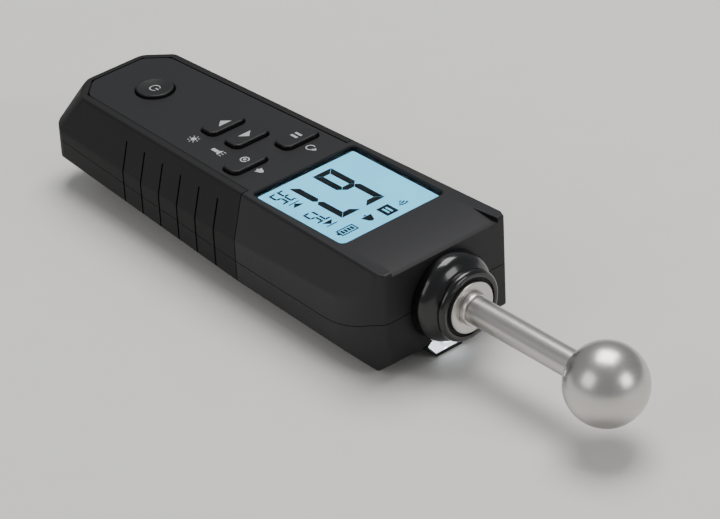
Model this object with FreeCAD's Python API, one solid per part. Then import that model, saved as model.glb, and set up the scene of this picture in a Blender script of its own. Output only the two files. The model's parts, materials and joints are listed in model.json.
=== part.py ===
import FreeCAD, Part
import math
import os

# Hand-held ball-probe moisture meter lying on its flat back.
# X runs forward along the probe, Y to the left, Z up out of the display.
# The origin is the bottom centre of the whole meter's box.

# ---- driving dimensions, millimetres -----------------------------------------------------------
PROBE_Z = 18.3
BALL_R = 11.5
BALL_X = 99.0
SHAFT_R = 3.9
STUD_R = 2.5
STUD_BACK_X = 28.8
COLLAR_R = 4.75
COLLAR_LEN = 1.5
DISC_R = 7.52
DISC_X = 48.87
DISC_BACK_X = 46.6
FIT = 0.05

TOP_Z = 32.93
TOP_RISE = 0.0151
TOP_HALF = 21.21
TOP_GROW = 0.0338
FLANK_LEAN = 0.265
SIDE_REAR_X = -105.0
SIDE_REAR_HALF = 21.15
SIDE_MID_X = -30.9
SIDE_MID_HALF = 23.9
NOSE_X = 21.0
NOSE_HALF = 25.15
NOSE_MID_X = 31.0
NOSE_MID_HALF = 24.1
FRONT_X = 38.9
FRONT_HALF = 21.4

CREASE_Z = 20.0
REAR_X = -110.5
REAR_TOP_X = -105.3
CORNER_TOP_A = (-105.2, 10.5)
CORNER_TOP_B = (-97.8, 18.3)
CORNER_LOW_A = (-110.5, 16.4)
CORNER_LOW_B = (-106.5, 21.0)

BELLY_REAR_Z = 9.8
BELLY_GRIP_Z = 6.0
BELLY_FRONT_Z = 5.4
BELLY_SIDE_RATE = 1.05
BELLY_END_RATE = 1.25

GRIP_X = -21.5
GRIP_T = 2.3
GRIP_REAR_T = 1.8
GROOVE_X = -73.7
GROOVE_PITCH = 8.56
GROOVE_COUNT = 6
GROOVE_W = 0.9
GROOVE_DEPTH = 0.7
GROOVE_TOP_Z = 27.7
WALL = 3.8
DISPLAY_WALL = 2.2
DISPLAY_BAY = (-20.5, 24.0)
TOP_WALL = 2.6
FLOOR_WALL = 2.4

PARTING_Z = 12.4
PARTING_REAR_RISE = 0.0383
PARTING_BEND = ((16.0, 12.3), (26.5, 13.8), (34.0, 16.7))
PARTING_GAP = 0.05

VISOR_X = 29.8
VISOR_LOW_X = 36.8
VISOR_LOW_Z = 32.2
VISOR_HALF = 18.0
VISOR_FRONT_HALF = 19.7

WINDOW_X0 = -19.3
WINDOW_X1 = 18.5
WINDOW_HALF = 18.4
WINDOW_R = 1.5
WINDOW_LEDGE = 0.6
WINDOW_SEAT = 1.4
WINDOW_TOP = 0.85

LCD_TOP = 1.45
LCD_T = 1.9
BACKLIGHT_T = 2.1
BEZEL_T = 0.7
BOARD_TOP = 7.4
BOARD_T = 1.2
BOARD_X0 = -103.5
BOARD_X1 = 23.4
BOARD_HALF = 13.2
BOARD_FRONT_HALF = 17.2
BOARD_WIDE = (-20.0, 17.5)

KEY_LEN = 6.1
KEY_WID = 12.4
KEY_R = 2.0
KEY_RISE = 1.1
KEY_GAP = 0.3
KEY_FLANGE = 0.9
FLANGE_T = 0.7
KEY_FOOT = 5.7
KEY_FOOT_R = 1.4
DOME_TOP = 5.8
DOME_R = 2.6
DOWN_KEY = (-54.4, 0.1)
UP_KEY = (-43.9, 0.2)
SET_KEY = (-33.0, -9.4)
HOLD_KEY = (-33.0, 9.4)
POWER_X = -85.3
POWER_R = 5.5
POWER_RISE = 0.9
POWER_DISH_R = 40.0
POWER_DISH = 0.35

CELL_X = -97.0
CELL_LEN = 46.3
CELL_HALF = 13.2
CELL_Z = 5.3
CELL_H = 17.0
TERMINAL_LEN = 2.0
LEAD_R = 0.55

DOOR_X0 = -99.0
DOOR_HALF = 14.2
DOOR_T = 2.0
DOOR_GAP = 0.3
HINGE_X = -46.0
HINGE_Z = 2.4
HINGE_R = 2.2
HINGE_PIN_R = 1.0
HINGE_BORE_R = 1.06
HINGE_PIN_REACH = 15.8
HINGE_EDGE_X = -43.2

BOSS_R = 13.0
BOSS_WAIST_R = 9.6
BOSS_RIM_R = 10.5
BOSS_MOUTH_R = 8.6
BOSS_BACK_X = 38.95
BOSS_FRONT_X = 48.2
BOSS_FLOOR_X = 45.4
SPIGOT_R = 8.9
SPIGOT_BORE_R = 9.0
SPIGOT_X = 35.2

LAMP_LOW = (0.9, 4.6)
LAMP_MID = (4.6, 7.5)
LAMP_HIGH = (6.6, 4.9)
POD_GROW = 0.85
POD_BACK_X = 29.6
LAMP_LEAD_Y = 1.4
LAMP_LEAD_Z = 4.4

SCREW_SPOTS = ((25.5, 17.5, 2.4), (-42.0, 17.2, 5.4), (-80.0, 16.2, 7.6))
PILLAR_R = 2.6
SCREW_R = 1.2
SCREW_HEAD_R = 2.2
SCREW_HEAD_T = 1.6
INSERT_R = 1.8
INSERT_LEN = 5.0
BOARD_SCREW_SPOTS = ((-101.2, 9.5), (21.0, 9.0))
BOARD_SCREW_R = 0.95
POST_R = 2.0

HUGE = 300.0
V = FreeCAD.Vector
UP = V(0, 0, 1)
FORWARD = V(1, 0, 0)
LEFT = V(0, 1, 0)


# ---- small helpers ------------------------------------------------------------------------------
def box(x0, x1, y0, y1, z0, z1):
    return Part.makeBox(x1 - x0, y1 - y0, z1 - z0, V(x0, y0, z0))


def upright(radius, x, y, z0, z1):
    return Part.makeCylinder(radius, z1 - z0, V(x, y, z0), UP)


def along_x(radius, x0, x1, y=0.0, z=PROBE_Z):
    return Part.makeCylinder(radius, x1 - x0, V(x0, y, z), FORWARD)


def ring_x(outer, inner, x0, x1):
    return along_x(outer, x0, x1).cut(along_x(inner, x0 - 1, x1 + 1))


def rounded_box(x0, x1, y0, y1, z0, z1, radius):
    block = box(x0, x1, y0, y1, z0, z1)
    corners = [e for e in block.Edges if abs(e.Vertexes[0].Z - e.Vertexes[1].Z) > 0.9 * (z1 - z0)]
    return block.makeFillet(radius, corners)


def group(shapes):
    return Part.makeCompound(shapes)


def mirrored(shape):
    return shape.mirror(V(0, 0, 0), LEFT)


def top_z(x):
    return TOP_Z + TOP_RISE * x


def on_top(shape):
    # lifts a shape drawn against Z = 0 on to the sloped top face
    placed = shape.copy()
    placed.rotate(V(0, 0, 0), LEFT, -math.degrees(math.atan(TOP_RISE)))
    placed.translate(V(0, 0, TOP_Z))
    return placed


def side_half(x):
    if x < SIDE_MID_X:
        return SIDE_MID_HALF + (x - SIDE_MID_X) * (SIDE_MID_HALF - SIDE_REAR_HALF) / (SIDE_MID_X - SIDE_REAR_X)
    return SIDE_MID_HALF + (x - SIDE_MID_X) * (NOSE_HALF - SIDE_MID_HALF) / (NOSE_X - SIDE_MID_X)


# ---- outer form ---------------------------------------------------------------------------------
def form_planes():
    # (kind, three points on the plane, mirrored as well) for every flat face of the casing
    rear_edge = V(REAR_TOP_X, 0, top_z(REAR_TOP_X))
    corner_a = V(CORNER_TOP_A[0], CORNER_TOP_A[1], top_z(CORNER_TOP_A[0]))
    corner_b = V(CORNER_TOP_B[0], CORNER_TOP_B[1], top_z(CORNER_TOP_B[0]))
    low_a = V(CORNER_LOW_A[0], CORNER_LOW_A[1], CREASE_Z)
    low_b = V(CORNER_LOW_B[0], CORNER_LOW_B[1], CREASE_Z)
    flank = V(0, TOP_HALF, TOP_Z)
    grip_edge = V(GRIP_X, side_half(GRIP_X), BELLY_GRIP_Z)
    rear_belly = V(SIDE_REAR_X, SIDE_REAR_HALF, BELLY_REAR_Z)
    front_belly = V(NOSE_X, NOSE_HALF, BELLY_FRONT_Z)
    tuck = V(0, -BELLY_SIDE_RATE, -1)
    end_low = V(REAR_X, 0, BELLY_REAR_Z)
    corner_low = V(CORNER_LOW_A[0], CORNER_LOW_A[1], BELLY_REAR_Z)
    corner_tuck = V(BELLY_END_RATE, -BELLY_END_RATE, -1.3)
    nose_low = V(FRONT_X, 0, BELLY_FRONT_Z - 0.3)
    return [
        ("top", V(0, 0, TOP_Z), V(0, 5, TOP_Z), V(-50, 0, top_z(-50)), False),
        ("floor", V(0, 0, 0), V(5, 0, 0), V(0, 5, 0), False),
        ("side", flank, V(-100, TOP_HALF - 100 * TOP_GROW, top_z(-100)), flank + V(0, 10 * FLANK_LEAN, -10), True),
        ("side", V(SIDE_REAR_X, SIDE_REAR_HALF, 0), V(SIDE_MID_X, SIDE_MID_HALF, 0),
         V(SIDE_MID_X, SIDE_MID_HALF, 10), True),
        ("side", V(SIDE_MID_X, SIDE_MID_HALF, 0), V(NOSE_X, NOSE_HALF, 0), V(NOSE_X, NOSE_HALF, 10), True),
        ("rear", rear_edge, rear_edge + LEFT, V(REAR_X, 0, CREASE_Z), False),
        ("rear", V(REAR_X, 0, CREASE_Z), V(REAR_X, 5, CREASE_Z), V(REAR_X, 0, 0), False),
        ("rear", corner_a, corner_b, (low_a + low_b) * 0.5, True),
        ("rear", low_a, low_b, low_a - UP, True),
        ("floor", grip_edge, rear_belly, grip_edge + tuck, True),
        ("floor", grip_edge, front_belly, grip_edge + tuck, True),
        ("floor", end_low, end_low + LEFT, end_low + V(BELLY_END_RATE, 0, -1), False),
        ("floor", corner_low, corner_low + (low_b - low_a), corner_low + corner_tuck, True),
        ("floor", nose_low, nose_low + LEFT, nose_low + V(-BELLY_END_RATE, 0, -1), False),
    ]


def beyond(point, normal):
    # a block that fills everything on the outer side of a plane
    block = Part.makeBox(HUGE, HUGE, HUGE, V(-HUGE / 2, -HUGE / 2, 0))
    block.Placement = FreeCAD.Placement(point, FreeCAD.Rotation(UP, normal)).multiply(block.Placement)
    return block


def nose_block(inset):
    # plan of the front end, whose sides curve in towards the front face
    start = V(NOSE_X, NOSE_HALF - inset, -1)
    mid = V(NOSE_MID_X - 0.3 * inset, NOSE_MID_HALF - inset, -1)
    end = V(FRONT_X - inset, FRONT_HALF - inset, -1)
    left = Part.Arc(start, mid, end).toShape()
    right = mirrored(left)
    low = V(start.x, -start.y, -1)
    edges = [left, right, Part.makeLine(end, V(end.x, -end.y, -1)),
             Part.makeLine(start, V(start.x, 40, -1)), Part.makeLine(V(start.x, 40, -1), V(-120, 40, -1)),
             Part.makeLine(V(-120, 40, -1), V(-120, -40, -1)), Part.makeLine(V(-120, -40, -1), V(start.x, -40, -1)),
             Part.makeLine(V(start.x, -40, -1), low)]
    wire = Part.Wire(Part.__sortEdges__(edges))
    return Part.Face(wire).extrude(V(0, 0, 50))


def body_form(side=0.0, rear=0.0, top=0.0, floor=0.0):
    # the casing's outer form as one solid, with each kind of face drawn in by its own amount
    inset = {"side": side, "rear": rear, "top": top, "floor": floor}
    centre = V(-40, 0, 16)
    form = nose_block(side)
    for kind, a, b, c, doubled in form_planes():
        normal = (b - a).cross(c - a)
        normal.normalize()
        if (centre - a).dot(normal) > 0:
            normal = normal * -1
        point = a - normal * inset[kind]
        form = form.cut(beyond(point, normal))
        if doubled:
            form = form.cut(beyond(V(point.x, -point.y, point.z), V(normal.x, -normal.y, normal.z)))
    return form


def parting_z(x):
    if x < GRIP_X:
        return PARTING_Z - PARTING_REAR_RISE * (x - GRIP_X)
    return PARTING_Z


def above_parting(lift):
    # everything above the joint between the two housings
    low, mid, high = [V(x, -40, z + lift) for x, z in PARTING_BEND]
    corner = V(GRIP_X, -40, PARTING_Z + lift)
    rear = V(-120, -40, parting_z(-120) + lift)
    front = V(FRONT_X, -40, PROBE_Z + lift)
    edges = [Part.makeLine(rear, corner), Part.makeLine(corner, low), Part.Arc(low, mid, high).toShape(),
             Part.makeLine(high, front), Part.makeLine(front, V(60, -40, front.z)),
             Part.makeLine(V(60, -40, front.z), V(60, -40, 60)), Part.makeLine(V(60, -40, 60), V(-120, -40, 60)),
             Part.makeLine(V(-120, -40, 60), rear)]
    return Part.Face(Part.Wire(edges)).extrude(V(0, 80, 0))


def grip_zone():
    # where the rubber wraps the casing: behind the grip's front end and above the belly
    slope = (BELLY_REAR_Z - BELLY_GRIP_Z) / (SIDE_REAR_X - GRIP_X)
    low_rear = V(-120, -40, BELLY_GRIP_Z + slope * (-120 - GRIP_X))
    low_front = V(GRIP_X, -40, BELLY_GRIP_Z)
    outline = [low_rear, low_front, V(GRIP_X, -40, 60), V(-120, -40, 60), low_rear]
    return Part.Face(Part.makePolygon(outline)).extrude(V(0, 80, 0))


def casing_form():
    # the outer form with the room for the rubber taken away
    room = body_form().cut(body_form(side=GRIP_T + FIT, rear=GRIP_REAR_T + FIT)).common(grip_zone())
    return body_form().cut(room)


def grip_band():
    core = body_form(side=GRIP_T, rear=GRIP_REAR_T)
    band = body_form().cut(core).common(grip_zone())
    face = body_form(side=GROOVE_DEPTH)
    for i in range(GROOVE_COUNT):
        x = GROOVE_X + GROOVE_PITCH * i
        slot = box(x - GROOVE_W / 2, x + GROOVE_W / 2, -40, 40, -1, GROOVE_TOP_Z)
        band = band.cut(slot.cut(face))
    return band


def cavity():
    # the hollow, wider beside the display, where no rubber covers the walls
    room = body_form(side=WALL, rear=WALL, top=TOP_WALL, floor=FLOOR_WALL)
    wide = body_form(side=DISPLAY_WALL, rear=WALL, top=TOP_WALL, floor=FLOOR_WALL)
    bay = box(DISPLAY_BAY[0], DISPLAY_BAY[1], -30, 30, 0, 40)
    return room.fuse(wide.common(bay)).removeSplitter()


def screw_spots():
    # place of each housing screw, and how far up its head seats inside the belly
    spots = []
    for x, y, seat in SCREW_SPOTS:
        spots.append((x, y, seat))
        spots.append((x, -y, seat))
    return spots


def board_screw_spots():
    spots = []
    for x, y in BOARD_SCREW_SPOTS:
        spots.append((x, y))
        spots.append((x, -y))
    return spots


# ---- housings -----------------------------------------------------------------------------------
def key_outlines(grow, z0, z1):
    # the four oblong keys' plan at one height range
    shapes = []
    for x, y in (DOWN_KEY, UP_KEY, SET_KEY, HOLD_KEY):
        shapes.append(rounded_box(x - KEY_LEN / 2 - grow, x + KEY_LEN / 2 + grow, y - KEY_WID / 2 - grow,
                                  y + KEY_WID / 2 + grow, z0, z1, KEY_R))
    return shapes


def visor_cut():
    side = Part.makePolygon([V(VISOR_X, -30, top_z(VISOR_X)), V(VISOR_LOW_X, -30, VISOR_LOW_Z),
                             V(45, -30, VISOR_LOW_Z), V(45, -30, 45), V(VISOR_X, -30, 45),
                             V(VISOR_X, -30, top_z(VISOR_X))])
    plan = Part.makePolygon([V(VISOR_X - 1, -VISOR_HALF, 20), V(45, -VISOR_FRONT_HALF, 20),
                             V(45, VISOR_FRONT_HALF, 20), V(VISOR_X - 1, VISOR_HALF, 20),
                             V(VISOR_X - 1, -VISOR_HALF, 20)])
    return Part.Face(side).extrude(V(0, 60, 0)).common(Part.Face(plan).extrude(V(0, 0, 30)))


def upper_housing():
    inside = cavity()
    shell = casing_form().common(above_parting(PARTING_GAP)).cut(inside)
    for x, y, seat in screw_spots():
        pillar = upright(PILLAR_R, x, y, parting_z(x) + PARTING_GAP, top_z(x) - 1.0)
        shell = shell.fuse(pillar.common(inside))
    for x, y in board_screw_spots():
        shell = shell.fuse(on_top(upright(POST_R, x, y, -BOARD_TOP, -TOP_WALL + 0.5)))
    shell = shell.cut(on_top(rounded_box(WINDOW_X0, WINDOW_X1, -WINDOW_HALF, WINDOW_HALF, -WINDOW_SEAT, 5,
                                         WINDOW_R)))
    ledge = WINDOW_LEDGE
    shell = shell.cut(on_top(box(WINDOW_X0 + ledge, WINDOW_X1 - ledge, -WINDOW_HALF + ledge,
                                 WINDOW_HALF - ledge, -TOP_WALL - 1, 1)))
    shell = shell.cut(visor_cut())
    for hole in key_outlines(KEY_GAP, -5, 5):
        shell = shell.cut(on_top(hole))
    shell = shell.cut(on_top(upright(POWER_R + KEY_GAP, POWER_X, 0, -5, 5)))
    shell = shell.cut(along_x(SPIGOT_BORE_R, 30, 45))
    for x, y, seat in screw_spots():
        shell = shell.cut(upright(INSERT_R + FIT, x, y, 0, parting_z(x) + INSERT_LEN))
        shell = shell.cut(upright(SCREW_R + FIT, x, y, 0, parting_z(x) + 10.0))
    for x, y in board_screw_spots():
        shell = shell.cut(on_top(upright(BOARD_SCREW_R + FIT, x, y, -12, -3.4)))
    return shell


def lamp_prism(grow, x0, x1):
    points = [(LAMP_LOW[1], LAMP_LOW[0] - grow), (LAMP_MID[1] + grow, LAMP_MID[0]),
              (LAMP_HIGH[1], LAMP_HIGH[0] + grow)]
    ring = [V(x0, y, z) for y, z in points] + [V(x0, -y, z) for y, z in reversed(points)]
    return Part.Face(Part.makePolygon(ring + [ring[0]])).extrude(V(x1 - x0, 0, 0))


def door_opening():
    return box(DOOR_X0 - DOOR_GAP, HINGE_EDGE_X, -DOOR_HALF - DOOR_GAP, DOOR_HALF + DOOR_GAP, -5, 9)


def lower_housing():
    inside = cavity()
    shell = casing_form().cut(above_parting(-PARTING_GAP)).cut(inside)
    shell = shell.fuse(lamp_prism(POD_GROW, POD_BACK_X, FRONT_X))
    for x, y, seat in screw_spots():
        pillar = upright(PILLAR_R, x, y, 0.5, parting_z(x) - PARTING_GAP)
        shell = shell.fuse(pillar.common(body_form(floor=0.5)))
    for side in (-1, 1):
        y = side * (DOOR_HALF + DOOR_GAP + 1.5)
        ear = box(HINGE_X - 2.8, HINGE_X + 2.8, y - 1.5, y + 1.5, 0.6, 5.6)
        shell = shell.fuse(ear.common(body_form(floor=0.4)))
    shell = shell.cut(door_opening())
    shell = shell.cut(Part.makeCylinder(HINGE_BORE_R, 2 * HINGE_PIN_REACH + 0.4,
                                        V(HINGE_X, -HINGE_PIN_REACH - 0.2, HINGE_Z), LEFT))
    shell = shell.cut(along_x(SPIGOT_BORE_R, 30, 45))
    shell = shell.cut(lamp_prism(0.0, POD_BACK_X + 1.6, 45))
    for y in (-LAMP_LEAD_Y, LAMP_LEAD_Y):
        shell = shell.cut(along_x(LEAD_R + 0.1, POD_BACK_X - 3, POD_BACK_X + 3, y, LAMP_LEAD_Z))
    for x, y, seat in screw_spots():
        shell = shell.cut(upright(SCREW_R + FIT, x, y, -1, 30))
        shell = shell.cut(upright(SCREW_HEAD_R + FIT, x, y, -1, seat))
    return shell


def grip_upper():
    return grip_band().common(above_parting(PARTING_GAP))


def grip_lower():
    return grip_band().cut(above_parting(-PARTING_GAP))


# ---- display ------------------------------------------------------------------------------------
def display_window():
    x0 = WINDOW_X0 + FIT
    x1 = WINDOW_X1 - FIT
    half = WINDOW_HALF - FIT
    return on_top(rounded_box(x0, x1, -half, half, -WINDOW_SEAT + 0.02, -WINDOW_TOP, WINDOW_R))


def lcd_slab(inset_x, half, top, thickness):
    x0 = WINDOW_X0 + WINDOW_LEDGE + inset_x
    x1 = WINDOW_X1 - WINDOW_LEDGE - inset_x
    return on_top(box(x0, x1, -half, half, -top - thickness, -top))


def lcd_panel():
    return lcd_slab(0.2, WINDOW_HALF - WINDOW_LEDGE - 0.2, LCD_TOP, LCD_T)


def lcd_backlight():
    return lcd_slab(0.6, 15.0, LCD_TOP + LCD_T + FIT, BACKLIGHT_T)


def lcd_bezel():
    x0 = WINDOW_X0 + WINDOW_LEDGE
    x1 = WINDOW_X1 - WINDOW_LEDGE
    half = WINDOW_HALF - WINDOW_LEDGE + 0.1
    z0 = -BOARD_TOP + FIT
    z1 = -TOP_WALL - FIT
    outer = box(x0 - BEZEL_T, x1 + BEZEL_T, -half - BEZEL_T, half + BEZEL_T, z0, z1)
    return on_top(outer.cut(box(x0, x1, -half, half, z0 - 1, z1 + 1)))


def elastomer_strips():
    z1 = -LCD_TOP - LCD_T - FIT
    strips = []
    for y in (-15.9, 15.9):
        strips.append(on_top(box(-15, 14, y - 0.6, y + 0.6, -BOARD_TOP + FIT, z1)))
    return group(strips)


# ---- board --------------------------------------------------------------------------------------
def main_board():
    z0 = -BOARD_TOP - BOARD_T
    board = box(BOARD_X0, BOARD_X1, -BOARD_HALF, BOARD_HALF, z0, -BOARD_TOP)
    board = board.fuse(box(BOARD_WIDE[0], BOARD_WIDE[1], -BOARD_FRONT_HALF, BOARD_FRONT_HALF, z0, -BOARD_TOP))
    for x, y in board_screw_spots():
        board = board.cut(upright(BOARD_SCREW_R + 0.1, x, y, z0 - 1, 0))
    return on_top(board.removeSplitter())


def under_board(x0, x1, y0, y1, height):
    z1 = -BOARD_TOP - BOARD_T - 0.02
    return box(x0, x1, y0, y1, z1 - height, z1)


def board_chips():
    chips = [under_board(-34, -26, -4, 4, 1.3), under_board(-20, -15, 5, 10, 1.1),
             under_board(-20, -14, -10, -6, 1.1), under_board(-10, -8, 8, 11, 1.0),
             under_board(-10, -8, -11, -8, 1.0)]
    return group([on_top(chip) for chip in chips])


def radio_module():
    carrier = under_board(0, 13, 1, 12, 0.8)
    can = box(1, 12, 2, 11, -BOARD_TOP - BOARD_T - 2.6, -BOARD_TOP - BOARD_T - 0.5)
    return on_top(carrier.fuse(can).removeSplitter())


def piezo_buzzer():
    z1 = -BOARD_TOP - BOARD_T - 0.02
    return on_top(upright(5.0, 6.0, -8.0, z1 - 3.2, z1).cut(upright(1.0, 6.0, -8.0, z1 - 4, z1 - 2.6)))


# ---- keys ---------------------------------------------------------------------------------------
def key(x, y):
    flange_z = -TOP_WALL - 0.3
    cap = rounded_box(x - KEY_LEN / 2, x + KEY_LEN / 2, y - KEY_WID / 2, y + KEY_WID / 2, flange_z - 0.2,
                      KEY_RISE, KEY_R)
    flange = box(x - KEY_LEN / 2 - KEY_FLANGE, x + KEY_LEN / 2 + KEY_FLANGE, y - KEY_WID / 2 - KEY_FLANGE,
                 y + KEY_WID / 2 + KEY_FLANGE, flange_z - FLANGE_T, flange_z)
    foot = upright(KEY_FOOT_R, x, y, -KEY_FOOT, flange_z - 0.1)
    return on_top(cap.fuse(flange).fuse(foot).removeSplitter())


def power_button():
    flange_z = -TOP_WALL - 0.3
    cap = upright(POWER_R, POWER_X, 0, flange_z - 0.2, POWER_RISE)
    dish = Part.makeSphere(POWER_DISH_R, V(POWER_X, 0, POWER_RISE + POWER_DISH_R - POWER_DISH))
    flange = upright(POWER_R + KEY_FLANGE, POWER_X, 0, flange_z - FLANGE_T, flange_z)
    foot = upright(KEY_FOOT_R, POWER_X, 0, -KEY_FOOT, flange_z - 0.1)
    return on_top(cap.cut(dish).fuse(flange).fuse(foot).removeSplitter())


def dome(x, y):
    # a low snap dome standing on the board
    height = BOARD_TOP - DOME_TOP
    radius = (DOME_R * DOME_R + height * height) / (2 * height)
    ball = Part.makeSphere(radius, V(x, y, -DOME_TOP - radius))
    cap = ball.common(box(x - 5, x + 5, y - 5, y + 5, -BOARD_TOP + 0.02, 0))
    return on_top(cap)


# ---- power --------------------------------------------------------------------------------------
def battery():
    cell = box(CELL_X, CELL_X + CELL_LEN, -CELL_HALF, CELL_HALF, CELL_Z, CELL_Z + CELL_H)
    longs = [e for e in cell.Edges if abs(e.Vertexes[0].X - e.Vertexes[1].X) > 40]
    return cell.makeFillet(2.0, longs)


def battery_terminals():
    x = CELL_X + CELL_LEN + 0.02
    z = CELL_Z + CELL_H / 2
    return group([along_x(2.9, x, x + TERMINAL_LEN, 6.3, z), along_x(3.6, x, x + TERMINAL_LEN, -6.3, z)])


def battery_snap():
    x = CELL_X + CELL_LEN + TERMINAL_LEN + 0.1
    z = CELL_Z + CELL_H / 2
    plate = box(x, x + 1.6, -11.5, 11.5, z - 5.5, z + 5.5)
    longs = [e for e in plate.Edges if abs(e.Vertexes[0].X - e.Vertexes[1].X) > 1]
    return plate.makeFillet(3.0, longs)


def bent_lead(start, corner, end, bend):
    # a thin wire with one tangent bend between two straight runs
    first = corner - start
    first.normalize()
    second = end - corner
    second.normalize()
    a = corner - first * bend
    b = corner + second * bend
    mid = corner + (second - first) * (bend * (1 - math.sqrt(0.5)))
    wire = Part.Wire([Part.makeLine(start, a), Part.Arc(a, mid, b).toShape(), Part.makeLine(b, end)])
    section = Part.Wire(Part.makeCircle(LEAD_R, start, first))
    return wire.makePipeShell([section], True, False)


def battery_lead(y):
    x = CELL_X + CELL_LEN + TERMINAL_LEN + 1.75
    z = CELL_Z + CELL_H / 2
    board = top_z(-40) - BOARD_TOP - BOARD_T - 0.1
    return bent_lead(V(x, y, z), V(-40, y, z), V(-40, y, board), 3.0)


def battery_door():
    # a piece of the belly's own shell, with the hinge barrel and its pins at the front
    skin = body_form().cut(body_form(floor=DOOR_T))
    leaf = skin.common(box(DOOR_X0, HINGE_X, -DOOR_HALF, DOOR_HALF, -1, 8))
    barrel = Part.makeCylinder(HINGE_R, 2 * DOOR_HALF, V(HINGE_X, -DOOR_HALF, HINGE_Z), LEFT)
    pin = Part.makeCylinder(HINGE_PIN_R, 2 * HINGE_PIN_REACH, V(HINGE_X, -HINGE_PIN_REACH, HINGE_Z), LEFT)
    return leaf.fuse(barrel).fuse(pin).removeSplitter()


def door_foam():
    return box(CELL_X + 6, CELL_X + CELL_LEN - 8, -9, 9, DOOR_T + 0.02, CELL_Z - 0.35)


# ---- probe --------------------------------------------------------------------------------------
def probe_boss():
    line = [(BOSS_BACK_X, BOSS_R), (41.2, BOSS_R - 0.1)]
    back = V(41.2, 0, PROBE_Z + BOSS_R - 0.1)
    shoulder = V(43.4, 0, PROBE_Z + 12.0)
    waist = V(44.6, 0, PROBE_Z + 10.2)
    points = [(45.2, BOSS_WAIST_R), (46.3, BOSS_RIM_R), (47.4, BOSS_RIM_R), (BOSS_FRONT_X, BOSS_RIM_R - 0.7),
              (BOSS_FRONT_X, BOSS_MOUTH_R), (BOSS_FLOOR_X, BOSS_MOUTH_R), (BOSS_FLOOR_X, STUD_R + 0.1),
              (SPIGOT_X, STUD_R + 0.1), (SPIGOT_X, SPIGOT_R), (BOSS_BACK_X, SPIGOT_R),
              (BOSS_BACK_X, 10.4), (39.9, 10.4), (39.9, 11.8), (BOSS_BACK_X, 11.8), line[0]]
    trail = [V(x, 0, PROBE_Z + r) for x, r in points]
    edges = [Part.makeLine(V(line[0][0], 0, PROBE_Z + line[0][1]), back), Part.Arc(back, shoulder, waist).toShape(),
             Part.makeLine(waist, trail[0])]
    for i in range(len(trail) - 1):
        edges.append(Part.makeLine(trail[i], trail[i + 1]))
    return Part.Face(Part.Wire(edges)).revolve(V(0, 0, PROBE_Z), FORWARD, 360)


def boss_seal():
    return Part.makeTorus(11.1, 0.45, V(39.45, 0, PROBE_Z), FORWARD)


def insulating_ring():
    cup = along_x(BOSS_MOUTH_R - FIT, BOSS_FLOOR_X + 0.02, 47.8)
    cup = cup.cut(along_x(DISC_R + FIT, DISC_BACK_X - 0.05, 50))
    return cup.cut(along_x(STUD_R + FIT, 40, 50))


def probe_disc():
    disc = along_x(DISC_R, DISC_BACK_X, DISC_X)
    dish = Part.makeSphere(60.0, V(DISC_X - 0.3 + 60.0, 0, PROBE_Z))
    return disc.cut(dish).cut(along_x(STUD_R + FIT, 40, 50))


def root_collar():
    return ring_x(COLLAR_R, SHAFT_R + FIT, DISC_X - 0.05, DISC_X + COLLAR_LEN)


def probe_shaft():
    rod = along_x(SHAFT_R, DISC_X - 0.1, 93.0)
    return rod.fuse(along_x(STUD_R, STUD_BACK_X, DISC_X)).removeSplitter()


def probe_ball():
    ball = Part.makeSphere(BALL_R, V(BALL_X, 0, PROBE_Z))
    return ball.cut(along_x(SHAFT_R + FIT, 80, 93.1))


def probe_washer():
    return ring_x(10.5, STUD_R + FIT, 33.9, 35.05)


def solder_lug():
    tab = box(33.3, 33.85, 0, 8.6, PROBE_Z - 1.6, PROBE_Z + 1.6)
    lug = along_x(4.4, 33.3, 33.85).fuse(tab)
    return lug.cut(along_x(STUD_R + FIT, 30, 36))


def probe_nut():
    points = [V(29.4, 4.6 * math.cos(math.radians(60 * i)), PROBE_Z + 4.6 * math.sin(math.radians(60 * i)))
              for i in range(6)]
    nut = Part.Face(Part.makePolygon(points + [points[0]])).extrude(V(3.85, 0, 0))
    return nut.cut(along_x(STUD_R + FIT, 28, 35))


def probe_lead():
    board = top_z(17) - BOARD_TOP - BOARD_T - 0.1
    return bent_lead(V(33.25, 7.4, PROBE_Z), V(17, 7.4, PROBE_Z), V(17, 7.4, board), 2.5)


# ---- lamp ---------------------------------------------------------------------------------------
def lamp_lens():
    return lamp_prism(-0.15, 37.2, FRONT_X - 0.05)


def lamp_reflector():
    cup = lamp_prism(-0.15, 33.8, 37.1)
    bowl = Part.makeCone(1.9, 3.1, 4.0, V(33.3, 0, 3.9), FORWARD)
    return cup.cut(bowl)


def lamp_led():
    z = 3.9
    stem = Part.makeCylinder(1.3, 1.6, V(33.25, 0, z), FORWARD)
    return stem.fuse(Part.makeSphere(1.3, V(34.85, 0, z))).removeSplitter()


def lamp_board():
    return box(32.3, 33.2, -4.4, 4.4, 1.9, 5.9)


def lamp_leads():
    board = top_z(14) - BOARD_TOP - BOARD_T - 0.1
    leads = []
    for y in (-LAMP_LEAD_Y, LAMP_LEAD_Y):
        leads.append(bent_lead(V(32.25, y, LAMP_LEAD_Z), V(14, y, LAMP_LEAD_Z), V(14, y, board), 3.0))
    return group(leads)


# ---- fasteners ----------------------------------------------------------------------------------
def housing_screws():
    screws = []
    for x, y, seat in screw_spots():
        low = seat - SCREW_HEAD_T
        cap = upright(SCREW_HEAD_R, x, y, low, seat - 0.02)
        cross = box(x - 1.3, x + 1.3, y - 0.25, y + 0.25, low - 1, low + 0.7)
        slot = box(x - 0.25, x + 0.25, y - 1.3, y + 1.3, low - 1, low + 0.7)
        cap = cap.cut(cross).cut(slot)
        screws.append(cap.fuse(upright(SCREW_R, x, y, seat - 0.1, parting_z(x) + 8.0)).removeSplitter())
    return group(screws)


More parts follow.
